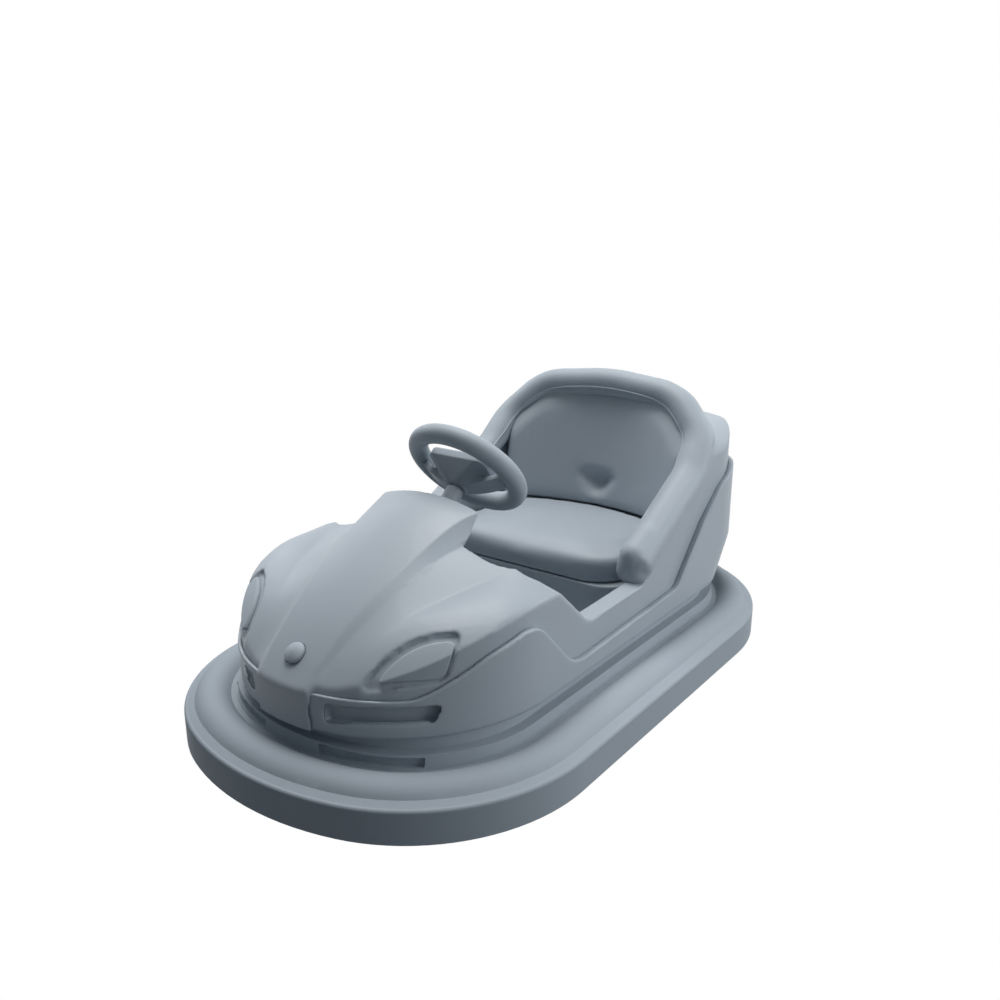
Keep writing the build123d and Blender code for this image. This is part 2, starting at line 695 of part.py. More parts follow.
def rear_axle():
    """Fixed axle in two hanging brackets, with a rubber-tyred wheel at each end."""
    z = REAR_WHEEL_R
    boss = REAR_WHEEL_W / 2 + BOSS_SIDE
    end = REAR_WHEEL_X + boss + AXLE_END
    save(rod(AXLE_R, 2 * end, (0, REAR_WHEEL_Y, z), "X"), "rear_axle")
    low = FLOOR_Z - RAIL_H
    for name, side in SIDES:
        x = side * RAIL_X
        plate = block((x - BRACKET_T / 2, x + BRACKET_T / 2),
                      (REAR_WHEEL_Y - BRACKET_L / 2, REAR_WHEEL_Y + BRACKET_L / 2), (z, low))
        plate += rod(BRACKET_R, BRACKET_T, (x, REAR_WHEEL_Y, z), "X")
        plate -= rod(AXLE_R, BRACKET_T + 2 * PAST, (x, REAR_WHEEL_Y, z), "X")
        save(plate, f"axle_bracket_{name}")
        centre = (side * REAR_WHEEL_X, REAR_WHEEL_Y, z)
        save(tube(REAR_WHEEL_R, REAR_WHEEL_R - TYRE_WALL, REAR_WHEEL_W, centre, "X"),
             f"rear_tyre_{name}")
        hub = rod(REAR_WHEEL_R - TYRE_WALL, REAR_WHEEL_W - 2 * HUB_SIDE, centre, "X")
        hub += rod(BOSS_R, 2 * boss, centre, "X")
        hub -= rod(AXLE_R + RUN_FIT, 2 * (boss + PAST), centre, "X")
        save(hub, f"rear_hub_{name}")


def drive_unit():
    """Turning drive unit: turntable, fork, motor and the driven front wheel."""
    base = FLOOR_TOP + TURNTABLE_LIFT
    top = base + TURNTABLE_T
    bearing = tube(TURNTABLE_R + RING_WIDTH, TURNTABLE_R + RUN_FIT, RING_H,
                   (0, DRIVE_Y, FLOOR_TOP + RING_H / 2), "Z")
    save(bearing, "turntable_ring")
    plate = rod(TURNTABLE_R, TURNTABLE_T, (0, DRIVE_Y, (base + top) / 2), "Z")
    reach = sqrt(DRIVE_WHEEL_R ** 2 - (FLOOR_TOP - DRIVE_WHEEL_R) ** 2) + WHEEL_GAP
    half = DRIVE_WHEEL_W / 2 + WHEEL_GAP
    plate -= block((-half, half), (DRIVE_Y - reach, DRIVE_Y + reach), (base - PAST, top + PAST))
    z = DRIVE_WHEEL_R
    centre = (0, DRIVE_Y, z)
    for _, side in SIDES:
        x = side * (half + FORK_T / 2)
        cheek = block((x - FORK_T / 2, x + FORK_T / 2), (DRIVE_Y - FORK_L / 2, DRIVE_Y + FORK_L / 2),
                      (z, base))
        cheek += rod(FORK_EYE_R, FORK_T, (x, DRIVE_Y, z), "X")
        cheek -= rod(DRIVE_AXLE_R, FORK_T + 2 * PAST, (x, DRIVE_Y, z), "X")
        plate += cheek
    save(plate, "drive_fork")
    save(rod(DRIVE_AXLE_R, 2 * (half + FORK_T) + AXLE_END, centre, "X"), "drive_axle")
    save(tube(z, z - DRIVE_TYRE, DRIVE_WHEEL_W, centre, "X"), "drive_tyre")
    boss = DRIVE_WHEEL_W + WHEEL_GAP
    hub = rod(z - DRIVE_TYRE, DRIVE_WHEEL_W - 2 * HUB_SIDE, centre, "X")
    hub += rod(BOSS_R, boss, centre, "X")
    hub -= rod(DRIVE_AXLE_R + RUN_FIT, boss + 2 * PAST, centre, "X")
    save(hub, "drive_hub")
    motor_y = DRIVE_Y + MOTOR_BACK
    motor = rod(MOTOR_R, MOTOR_L, (0, motor_y, MOTOR_Z), "X")
    cradle = block((-MOTOR_L / 2, MOTOR_L / 2), (motor_y - CRADLE_W / 2, motor_y + CRADLE_W / 2),
                   (top, MOTOR_Z)) - motor
    cradle -= block((-half, half), (DRIVE_Y, DRIVE_Y + reach), (base, MOTOR_Z))
    save(motor + cradle, "drive_motor")
    bridge = block((-BRIDGE_X, BRIDGE_X), (DRIVE_Y - BRIDGE_W / 2, DRIVE_Y + BRIDGE_W / 2),
                   (top, BRIDGE_TOP))
    bridge -= block((-BRIDGE_X + BRIDGE_T, BRIDGE_X - BRIDGE_T),
                    (DRIVE_Y - BRIDGE_W, DRIVE_Y + BRIDGE_W), (top - PAST, BRIDGE_TOP - BRIDGE_T))
    save(bridge, "spindle_bridge")
    _, pivot_z = steering_pivot()
    spindle = rod(SPINDLE_R, pivot_z - BRIDGE_TOP, (0, DRIVE_Y, (pivot_z + BRIDGE_TOP) / 2), "Z")
    spindle += Pos(0, DRIVE_Y, pivot_z) * Sphere(JOINT_R)
    save(spindle, "steering_spindle")


def steering_axis():
    """Unit vector of the steering column, pointing up and back to the driver."""
    rake = radians(WHEEL_RAKE)
    return Vector(0, sin(rake), cos(rake))


def steering_pivot():
    """Distance down the column, and height, where it meets the drive unit's upright axis."""
    axis = steering_axis()
    down = (WHEEL_CENTRE[1] - DRIVE_Y) / axis.Y
    return down, WHEEL_CENTRE[2] - down * axis.Z


def steering():
    """Wheel rim, bowl-shaped hub with two wings, turning shaft and fixed column."""
    place = Plane(origin=WHEEL_CENTRE, x_dir=(1, 0, 0), z_dir=steering_axis())
    rim = Torus(RIM_R, RIM_TUBE_R)
    save(place * rim, "steering_rim")
    pad_place = Pos(0, -PAD_BACK, 0)
    pad = extrude(pad_place * Pos(0, 0, PAD_BOTTOM) * RectangleRounded(*PAD_SIZE, PAD_CORNER),
                  PAD_TOP - PAD_BOTTOM)
    bowl = loft([
        Pos(0, 0, BOWL_BOTTOM) * RectangleRounded(*BOWL_SIZE, PAD_CORNER),
        pad_place * Pos(0, 0, PAD_BOTTOM) * RectangleRounded(*PAD_SIZE, PAD_CORNER),
    ], ruled=True)
    pad = fillet(pad.faces().sort_by(Axis.Z)[-1].edges(), PAD_EDGE_R)
    top, under = SPOKE_T / 2, -SPOKE_T / 2
    crescent = make_face([
        ThreePointArc((-RIM_R, top), (0, top - SPOKE_DIP), (RIM_R, top)),
        Line((RIM_R, top), (RIM_R, under)),
        ThreePointArc((RIM_R, under), (0, under - SPOKE_DIP), (-RIM_R, under)),
        Line((-RIM_R, under), (-RIM_R, top)),
    ])
    wings = extrude(Plane.XZ * crescent, SPOKE_W / 2, both=True)
    save(place * (pad + bowl + wings - rim), "steering_hub")
    down, _ = steering_pivot()
    end = down - JOINT_R - JOINT_GAP
    shaft = Pos(0, 0, (BOWL_BOTTOM - end) / 2) * Cylinder(SHAFT_R, end + BOWL_BOTTOM)
    save(place * shaft, "steering_shaft")
    start = -BOWL_BOTTOM + COLUMN_GAP
    column = Pos(0, 0, -(start + COLUMN_END) / 2) * Cylinder(COLUMN_R, COLUMN_END - start)
    bore = Pos(0, 0, -(start + COLUMN_END) / 2) * Cylinder(SHAFT_R + RUN_FIT, COLUMN_END)
    save(place * (column - bore), "steering_column")
    dash = block((-DASH_HALF, DASH_HALF), (DASH_Y - DASH_T / 2, DASH_Y + DASH_T / 2),
                 (DASH_BOTTOM, PROFILE_HIGH))
    inside = panel_form(PANEL_WALL)
    dash &= upper_form(WALL) + inside
    dash -= panel_form(0) - inside
    dash -= place * Pos(0, 0, -COLUMN_END / 2) * Cylinder(COLUMN_R, 2 * COLUMN_END)
    save(dash, "dash_panel")


def seat_plan(half, inset):
    """Plan of the seat with large round front corners."""
    face = Pos(0, (SEAT_FRONT + SEAT_REAR) / 2) * Rectangle(
        2 * (half - inset), SEAT_REAR - SEAT_FRONT - 2 * inset)
    return fillet(face.vertices().sort_by(Axis.Y)[:2], SEAT_R - inset)


def seat_box(inset):
    """Seat base as a solid inside the cockpit's linings, or its hollow."""
    room = LINING_WALL + SEAT_GAP
    half = WAIST_PLAN["half_width"] - STEP - LEDGE_WIDTH - room
    top = BASE_TOP - inset
    form = opening(room + inset, FLOOR_TOP, top)
    return form & Pos(0, 0, FLOOR_TOP) * extrude(seat_plan(half, inset), top - FLOOR_TOP)


def seat():
    """Moulded seat base, cushion, leaning backrest on its shell, and the padded roll round it."""
    save(seat_box(0) - seat_box(BASE_WALL), "seat_base")
    cushion = seat_plan(CUSHION_HALF, 0) & Pos(0, BACK_Y - BACK_R) * Circle(BACK_R + CUSHION_UNDER)
    cushion = Pos(0, 0, BASE_TOP + SEAT_GAP) * extrude(cushion, CUSHION_TOP - BASE_TOP - SEAT_GAP)
    edges = cushion.faces().sort_by(Axis.Z)[-1].edges().sort_by(Axis.Y)[:-1]
    save(fillet(edges, CUSHION_EDGE_R), "seat_cushion")
    lean = radians(BACK_LEAN)
    up = Vector(0, sin(lean), cos(lean))
    place = Plane(origin=(0, BACK_Y, CUSHION_TOP), x_dir=(1, 0, 0), z_dir=up)
    roll_space = roll_bar(ROLL_R + SEAT_GAP)
    left_side = [(x, z) for x, y, z in ROLL_POINTS[1:]]
    foot_x = ROLL_POINTS[0][0]
    front = [(foot_x, 0.0), *left_side, *[(-x, z) for x, z in left_side[-2::-1]], (-foot_x, 0.0)]
    front_form = extrude(Plane.XZ * make_face(Polyline(*front, close=True)), -BODY_TOP)
    layers = (
        ("backrest_pad", 0.0, PAD_T, CUSHION_TOP),
        ("backrest_shell", PAD_T + SEAT_GAP, BACK_SHELL_T, BASE_TOP),
    )
    for name, start, thick, seat_z in layers:
        band = Pos(0, -BACK_R) * (Circle(BACK_R + start + thick) - Circle(BACK_R + start))
        band &= Pos(0, thick) * Rectangle(2 * BACK_HALF, 2 * (BACK_R - thick))
        low = BASE_TOP - CUSHION_TOP
        solid = place * Pos(0, 0, low) * extrude(band, BACK_RISE - low)
        solid -= block((-BACK_HALF, BACK_HALF), (0, BACK_Y * 2), (0, seat_z + SEAT_GAP))
        save((solid & front_form) - roll_space, name)
    ledge = slab(UPPER_PLAN, -SEAT_GAP, BODY_BOTTOM, BODY_TOP) & crown(-SEAT_GAP)
    ledge &= side_cut(SHOULDER_LINE, -SEAT_GAP, BODY_BOTTOM, PROFILE_HIGH)
    half = WAIST_PLAN["half_width"]
    left = roll_bar(ROLL_R) & block((0, half), (0, PROFILE_END), (0, BODY_TOP + ROLL_R))
    left -= ledge
    save(left + mirror(left, about=Plane.YZ), "seat_roll")


def roll_bar(radius):
    """Round bar along the roll's path, from one arm end over the backrest to the other."""
    half = list(ROLL_POINTS)
    points = half + [(-x, y, z) for x, y, z in reversed(half[:-1])]
    bends = list(ROLL_BENDS[:-1])
    path = FilletPolyline(*points, radius=bends + [ROLL_BENDS[-1]] + bends[::-1])
    start = Plane(origin=path @ 0, z_dir=path % 0)
    bar = sweep(start * Circle(radius), path=path)
    for end, outward in ((0, -1), (1, 1)):
        tip = Plane(origin=path @ end, z_dir=(path % end) * outward)
        bar += tip * Sphere(radius, arc_size1=0, arc_size2=90)
    return bar


def pedal():
    """Tilted foot plate on a hinge block bolted to the floor."""
    width, length, thick = PEDAL_SIZE
    hinge = (PEDAL_X, PEDAL_Y, FLOOR_TOP + 2 * PEDAL_HINGE_R)
    turn = Location(hinge, (-PEDAL_TILT, 0, 0))
    plate = turn * (Pos(0, -length / 2, PEDAL_HINGE_R) * Box(width, length, thick))
    plate += rod(PEDAL_HINGE_R, width, hinge, "X")
    save(plate, "pedal")
    inner = width / 2 + PEDAL_GAP
    outer = inner + thick
    deep = 2 * PEDAL_HINGE_R
    top = FLOOR_TOP + 3 * PEDAL_HINGE_R
    mount = block((PEDAL_X - outer, PEDAL_X + outer), (PEDAL_Y - deep, PEDAL_Y + deep),
                  (FLOOR_TOP, top))
    mount -= block((PEDAL_X - inner, PEDAL_X + inner), (PEDAL_Y - deep - PAST, PEDAL_Y + deep + PAST),
                   (FLOOR_TOP + thick, top + PAST))
    save(mount, "pedal_bracket")


parts = (bumper, collar, body, frame, rear_axle, drive_unit, steering, seat, pedal)
for part in parts:
    part()
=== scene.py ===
import json
import math

import bmesh
import bpy
from mathutils import Matrix, Vector, kdtree
from mathutils.bvhtree import BVHTree


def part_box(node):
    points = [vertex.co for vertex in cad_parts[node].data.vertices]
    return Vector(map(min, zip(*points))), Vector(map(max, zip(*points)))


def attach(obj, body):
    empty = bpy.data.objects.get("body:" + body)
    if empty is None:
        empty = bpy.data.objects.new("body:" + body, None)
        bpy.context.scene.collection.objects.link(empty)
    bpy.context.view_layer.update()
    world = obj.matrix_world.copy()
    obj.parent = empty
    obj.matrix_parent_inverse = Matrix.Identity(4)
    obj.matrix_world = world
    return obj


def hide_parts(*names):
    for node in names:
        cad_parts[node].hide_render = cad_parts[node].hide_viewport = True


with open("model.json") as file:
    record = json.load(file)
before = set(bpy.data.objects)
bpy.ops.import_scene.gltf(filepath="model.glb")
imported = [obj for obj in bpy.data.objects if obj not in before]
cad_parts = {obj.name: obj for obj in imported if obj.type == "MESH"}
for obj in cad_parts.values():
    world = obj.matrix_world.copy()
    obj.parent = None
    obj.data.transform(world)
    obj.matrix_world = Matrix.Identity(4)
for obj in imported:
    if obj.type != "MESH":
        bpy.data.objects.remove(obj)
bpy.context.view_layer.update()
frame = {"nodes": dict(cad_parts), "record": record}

nodes = frame["nodes"]


# The camera stands at the photograph's place, to the car's front left and a little above it.
# Its place was fitted to the bumper's outline and the steering wheel, in metres and degrees.
CAMERA_PLACE = (1.3994, -1.8939, 1.2036)
CAMERA_AZIMUTH = 36.751
CAMERA_PITCH = 16.39
LENS_MM = 32.815

azimuth, pitch = math.radians(CAMERA_AZIMUTH), math.radians(CAMERA_PITCH)
camera_back = Vector((
    math.sin(azimuth) * math.cos(pitch), -math.cos(azimuth) * math.cos(pitch), math.sin(pitch)))
bpy.ops.object.camera_add(location=CAMERA_PLACE)
camera = bpy.context.object
camera.name = "camera"
camera.rotation_mode = "QUATERNION"
camera.rotation_quaternion = (-camera_back).to_track_quat("-Z", "Y")
camera.data.lens = LENS_MM
camera.data.sensor_width = 36.0
camera.data.clip_start = 0.05
bpy.context.scene.camera = camera


# The floor is a plain sheet that shows white to the camera and in reflections.
# Lamps are large and soft: one above, one at the car's left, one at its left rear and a bluish
# one at its right, under a dim even sky.
FLOOR_SIZE = 60.0
FLOOR_DROP = 0.0005
FLOOR_COLOUR = "#4B5156"
SKY_COLOUR = "#BDD2E6"
SKY_STRENGTH = 0.15


def linear(hex_colour):
    """Linear RGBA of an sRGB hex colour."""
    channels = [int(hex_colour[i:i + 2], 16) / 255 for i in (1, 3, 5)]
    return [c / 12.92 if c <= 0.04045 else ((c + 0.055) / 1.055) ** 2.4 for c in channels] + [1.0]


def node(tree, kind, settings=None, links=None, values=None):
    """Add a shader node, set its settings and socket values, and link its inputs."""
    made = tree.nodes.new(kind)
    for name, value in (settings or {}).items():
        setattr(made, name, value)
    for socket, value in (values or {}).items():
        made.inputs[socket].default_value = value
    for socket, source in (links or {}).items():
        tree.links.new(source, made.inputs[socket])
    return made


def lamp(name, place, target, size, power, colour):
    """Large square area lamp that looks at a point."""
    bpy.ops.object.light_add(type="AREA", location=place)
    made = bpy.context.object
    made.name = name
    made.data.shape = "SQUARE"
    made.data.size = size
    made.data.energy = power
    made.data.color = linear(colour)[:3]
    made.rotation_mode = "QUATERNION"
    made.rotation_quaternion = (Vector(target) - Vector(place)).to_track_quat("-Z", "Y")


bpy.ops.object.select_all(action="DESELECT")
bpy.ops.mesh.primitive_plane_add(size=FLOOR_SIZE, location=(0, 0, -FLOOR_DROP))
floor = bpy.context.object
floor.name = "floor"
bpy.ops.object.transform_apply(location=True, rotation=True, scale=True)

floor_paint = bpy.data.materials.new("studio_floor_paint")
floor_paint.use_nodes = True
tree = floor_paint.node_tree
tree.nodes.clear()
paint = node(tree, "ShaderNodeBsdfDiffuse", values={"Color": linear(FLOOR_COLOUR)})
white = node(tree, "ShaderNodeEmission", values={"Color": (1, 1, 1, 1), "Strength": 1.0})
path = node(tree, "ShaderNodeLightPath")
seen = node(tree, "ShaderNodeMath", {"operation": "MAXIMUM"}, {
    0: path.outputs["Is Camera Ray"], 1: path.outputs["Is Glossy Ray"]})
mix = node(tree, "ShaderNodeMixShader", None, {
    0: seen.outputs[0], 1: paint.outputs[0], 2: white.outputs[0]})
node(tree, "ShaderNodeOutputMaterial", None, {"Surface": mix.outputs[0]})
floor.data.materials.append(floor_paint)

world = bpy.data.worlds.new("studio_sky")
bpy.context.scene.world = world
world.use_nodes = True
tree = world.node_tree
tree.nodes.clear()
path = node(tree, "ShaderNodeLightPath")
straight = node(tree, "ShaderNodeMath", {"operation": "MAXIMUM"}, {
    0: path.outputs["Is Camera Ray"], 1: path.outputs["Is Glossy Ray"]})
sky = node(tree, "ShaderNodeBackground", values={
    "Color": linear(SKY_COLOUR), "Strength": SKY_STRENGTH})
clear = node(tree, "ShaderNodeBackground", values={"Color": (1, 1, 1, 1), "Strength": 1.0})
mix = node(tree, "ShaderNodeMixShader", None, {
    0: straight.outputs[0], 1: sky.outputs[0], 2: clear.outputs[0]})
node(tree, "ShaderNodeOutputWorld", None, {"Surface": mix.outputs[0]})

lamp("top_lamp", (-0.7, 0.5, 4.6), (0, -0.1, 0.35), 2.6, 166.0, "#FBFAF9")
lamp("side_lamp", (3.3, 0.6, 1.4), (0, 0.1, 0.3), 1.8, 42.0, "#F8FBFD")
lamp("rear_lamp", (2.6, 3.0, 2.2), (0.2, 0.6, 0.4), 1.6, 40.0, "#F8FBFD")
lamp("right_fill_lamp", (-3.2, 0.2, 2.2), (0, -0.2, 0.3), 1.8, 32.0, "#E6EEF6")
bpy.context.scene.view_settings.view_transform = "Standard"


# Materials. The whole car is one pale blue-grey in the picture, so the materials differ by their
# gloss and grain: smooth gel coat, matt rubber, pebbled plastic, grained vinyl, satin steel.
TINT_LOW = 0.94
TINT_HIGH = 1.06
GLOSS_DRIFT = 0.05
CLOUD_SCALE = 5.0
CELL_EDGE = 0.25


def surface(name, colour, roughness, grain_size, grain_depth, cells=False, metallic=0.0, coat=0.0):
    """Procedural material: a tint that drifts a little, uneven gloss and a fine relief.

    Sizes are in metres. With cells the relief is a pebbled skin, otherwise fine noise.
    """
    made = bpy.data.materials.new(name)
    made.use_nodes = True
    tree = made.node_tree
    shader = tree.nodes["Principled BSDF"]
    place = node(tree, "ShaderNodeTexCoord").outputs["Object"]
    cloud = node(tree, "ShaderNodeTexNoise", None, {"Vector": place}, {
        "Scale": CLOUD_SCALE, "Detail": 4.0, "Roughness": 0.6})
    base = linear(colour)
    tint = node(tree, "ShaderNodeMix", {"data_type": "RGBA"}, {"Factor": cloud.outputs["Fac"]})
    tint.inputs[6].default_value = [c * TINT_LOW for c in base[:3]] + [1.0]
    tint.inputs[7].default_value = [min(c * TINT_HIGH, 1.0) for c in base[:3]] + [1.0]
    tree.links.new(tint.outputs[2], shader.inputs["Base Color"])
    gloss = node(tree, "ShaderNodeMapRange", None, {"Value": cloud.outputs["Fac"]}, {
        "From Min": 0.3, "From Max": 0.7,
        "To Min": roughness - GLOSS_DRIFT, "To Max": roughness + GLOSS_DRIFT})
    tree.links.new(gloss.outputs[0], shader.inputs["Roughness"])
    if cells:
        relief = node(tree, "ShaderNodeTexVoronoi", {"feature": "DISTANCE_TO_EDGE"}, {"Vector": place}, {
            "Scale": 1.0 / grain_size})
        height = node(tree, "ShaderNodeMapRange", None, {"Value": relief.outputs["Distance"]}, {
            "From Max": CELL_EDGE}).outputs[0]
    else:
        relief = node(tree, "ShaderNodeTexNoise", None, {"Vector": place}, {
            "Scale": 1.0 / grain_size, "Detail": 3.0})
        height = relief.outputs["Fac"]
    bump = node(tree, "ShaderNodeBump", None, {"Height": height}, {
        "Strength": 1.0, "Distance": grain_depth})
    tree.links.new(bump.outputs[0], shader.inputs["Normal"])
    shader.inputs["Metallic"].default_value = metallic
    shader.inputs["Coat Weight"].default_value = coat
    return made


# Gel coat is a pigmented polyester skin on glass fibre: smooth, with a faint orange peel
gel_coat = surface("gel_coat_moulding", "#A6AFB7", 0.5, 0.006, 0.00006, coat=0.05)
# The bumper is moulded rubber, matt and a little dusty
bumper_rubber = surface("bumper_moulded_rubber", "#9FA8B0", 0.72, 0.0035, 0.00015)
# Lamp lenses, badge and steering wheel are pebbled moulded plastic
pebbled_plastic = surface("trim_pebbled_plastic", "#A6AFB7", 0.55, 0.0022, 0.0001, cells=True)
# Vinyl covers have a leather grain of small cells
vinyl = surface("seat_vinyl_leather_grain", "#A6AFB7", 0.5, 0.0034, 0.00022, cells=True)
# Frame steel is powder coated, which leaves a fine even texture
powder_coat = surface("frame_powder_coat", "#9AA3AB", 0.5, 0.002, 0.00012)
# Axles and shafts are bare ground steel
ground_steel = surface("ground_steel", "#B4BABF", 0.32, 0.0012, 0.00002, metallic=1.0)
# Wheel hubs are sand-cast aluminium, with the grain of the mould
cast_aluminium = surface("sand_cast_aluminium", "#AEB4B9", 0.48, 0.0015, 0.00025, metallic=1.0)
# Wheels run on solid rubber, painted darker than the bumper to stand for the shade under the car
tyre_rubber_painted_shade = surface("solid_tyre_rubber_painted_shade", "#6F777E", 0.8, 0.003, 0.0002)

SLOT_MATERIALS = {
    "body_shell": gel_coat,
    "bumper_rubber": bumper_rubber,
    "cast": cast_aluminium,
    "frame_paint": powder_coat,
    "padding": vinyl,
    "steel": ground_steel,
    "trim": pebbled_plastic,
    "tyre": tyre_rubber_painted_shade,
}
node_slots = {row["node"]: row["material_slot"] for row in frame["record"]["subparts"]}
for name, made in nodes.items():
    made.data.materials.clear()
    made.data.materials.append(SLOT_MATERIALS[node_slots[name]])


# The upper body and the hood's centre panel are one moulding with soft edges. The frame's solids
# are merged, thickened inwards, remeshed fine, and rounded: a little everywhere, and broadly
# along the brow, where the hood's surface turns down into the upright sides.
SHELL_VOXEL = 0.0042
MERGE_DISTANCE = 0.00002
WALL_GAIN = 0.009
SIGHT = 1.6
SIGHT_START = 0.0005
SHARP_ANGLE = 25
POINT_STEP = 0.008
SOFT_FACTOR = 0.5
SOFT_ROUNDS = 5
# The brow lies in front of BROW_REAR and between two heights, and outside the nose's plan
BROW_REAR = -0.15
BROW_LOW = 0.27
BROW_HIGH = 0.47
BROW_FACTOR = 0.8
BROW_ROUNDS = 22
BROW_WIDTH = 0.036
NOSE_HALF = 0.37
NOSE_REAR = -0.38
NOSE_REACH = 0.487
NOSE_INSET = 0.012
LAMP_MARGIN = 0.012
LAMP_ROUNDS = 14
LAMP_WIDTH = 0.014
SHELL_TRIS = 185000


def select_only(made):
    """Make one object the active and only selected one."""
    bpy.ops.object.select_all(action="DESELECT")
    made.select_set(True)
    bpy.context.view_layer.objects.active = made


def merged_copy(name, sources):
    """New object that joins copies of frame pieces, with their vertices merged."""
    form = bmesh.new()
    for source in sources:
        form.from_mesh(nodes[source].data)
    bmesh.ops.remove_doubles(form, verts=form.verts, dist=MERGE_DISTANCE)
    mesh = bpy.data.meshes.new(name)
    form.to_mesh(mesh)
    form.free()
    mesh.materials.clear()
    made = bpy.data.objects.new(name, mesh)
    bpy.context.collection.objects.link(made)
    select_only(made)
    return made


def thicken_inside(made, depth):
    """Push the faces that look at another face of the same piece further into its hollow."""
    form = bmesh.new()
    form.from_mesh(made.data)
    form.normal_update()
    tree = BVHTree.FromBMesh(form)
    inner = set()
    for face in form.faces:
        start = face.calc_center_median() + face.normal * SIGHT_START
        if tree.ray_cast(start, face.normal, SIGHT)[0] is not None:
            inner.add(face.index)
    moves = {}
    for vert in form.verts:
        if vert.link_faces and all(face.index in inner for face in vert.link_faces):
            moves[vert] = vert.normal * depth
    for vert, move in moves.items():
        vert.co += move
    form.to_mesh(made.data)
    form.free()


def remesh(made, voxel):
    """Rebuild an object's mesh as an even closed skin."""
    select_only(made)
    made.data.remesh_voxel_size = voxel
    bpy.ops.object.voxel_remesh()


def apply_modifier(made, kind, **settings):
    """Add a modifier and apply it at once."""
    select_only(made)
    modifier = made.modifiers.new(kind.lower(), kind)
    for name, value in settings.items():
        setattr(modifier, name, value)
    bpy.ops.object.modifier_apply(modifier=modifier.name)


def sharp_points(sources, keep):
    """Points every few millimetres along the sharp edges of frame pieces that a test keeps."""
    form = bmesh.new()
    for source in sources:
        form.from_mesh(nodes[source].data)
    bmesh.ops.remove_doubles(form, verts=form.verts, dist=MERGE_DISTANCE)
    points = []
    for edge in form.edges:
        if len(edge.link_faces) == 2 and edge.calc_face_angle(0.0) > math.radians(SHARP_ANGLE):
            start, end = edge.verts[0].co, edge.verts[1].co
            if keep(start) and keep(end):
                steps = max(2, int((end - start).length / POINT_STEP))
                points += [start.lerp(end, i / steps) for i in range(steps + 1)]
    form.free()
    return points


def soft_group(made, points, width):
    """Vertex group that fades from 1 on a line of points to 0 at a width from it."""
    tree = kdtree.KDTree(len(points))
    for i, point in enumerate(points):
        tree.insert(point, i)
    tree.balance()
    group = made.vertex_groups.new(name="soft")
    for vert in made.data.vertices:
        distance = tree.find(vert.co)[2]
        if distance < width:
            group.add([vert.index], 1 - (distance / width) ** 2, "REPLACE")
    return group.name


def finish_shell(made, material, slot, *replaced):
    """Smooth-shade a new piece, give it its material, attach it to the chassis and hide what it
    replaces.
    """
    select_only(made)
    made.data.materials.clear()
    made.data.materials.append(material)
    bpy.ops.object.shade_smooth()
    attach(made, "chassis")
    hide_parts(*replaced)


def decimate_to(made, triangles):
    """Thin a dense skin out to a number of triangles."""
    count = sum(len(face.vertices) - 2 for face in made.data.polygons)
    if count > triangles:
        apply_modifier(made, "DECIMATE", ratio=triangles / count)


def on_brow(point):
    """True on the front outline of the upper body, where the hood's surface ends."""
    return point.y < BROW_REAR and BROW_LOW < point.z < BROW_HIGH and (
        abs(point.x) > NOSE_HALF or point.y < NOSE_REAR) and not inside_nose(point)


def inside_nose(point):
    """True well inside the nose's plan outline."""
    centre_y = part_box("body_upper")[0][1] + NOSE_REACH
    from_centre = Vector((point.x, point.y - centre_y)).length
    return from_centre < NOSE_REACH - NOSE_INSET and abs(point.x) < NOSE_HALF


def on_lamp_rim(point):
    """True near a headlamp, whose recess has a soft edge."""
    low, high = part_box("headlamp_left")
    near = Vector((abs(point.x), point.y, point.z))
    return all(low[i] - LAMP_MARGIN < near[i] < high[i] + LAMP_MARGIN for i in range(3))


shell = merged_copy("upper_moulding", ["body_upper", "hood_panel"])
brow = sharp_points(["body_upper", "hood_panel"], on_brow)
lamp_rims = sharp_points(["body_upper", "hood_panel"], on_lamp_rim)
thicken_inside(shell, WALL_GAIN)
remesh(shell, SHELL_VOXEL)
apply_modifier(shell, "SMOOTH", factor=SOFT_FACTOR, iterations=SOFT_ROUNDS)
apply_modifier(shell, "SMOOTH", factor=BROW_FACTOR, iterations=BROW_ROUNDS,
               vertex_group=soft_group(shell, brow, BROW_WIDTH))
apply_modifier(shell, "SMOOTH", factor=SOFT_FACTOR, iterations=LAMP_ROUNDS,
               vertex_group=soft_group(shell, lamp_rims, LAMP_WIDTH))
decimate_to(shell, SHELL_TRIS)
finish_shell(shell, gel_coat, "body_shell", "body_upper", "hood_panel")


# The lower body is the second moulding. Its walls are thickened and remeshed in the same way.
LOWER_VOXEL = 0.0045
LOWER_ROUNDS = 8
LOWER_TRIS = 150000

lower = merged_copy("lower_moulding", ["body_lower"])
thicken_inside(lower, WALL_GAIN)
remesh(lower, LOWER_VOXEL)
apply_modifier(lower, "SMOOTH", factor=SOFT_FACTOR, iterations=LOWER_ROUNDS)
decimate_to(lower, LOWER_TRIS)
finish_shell(lower, gel_coat, "body_shell", "body_lower")


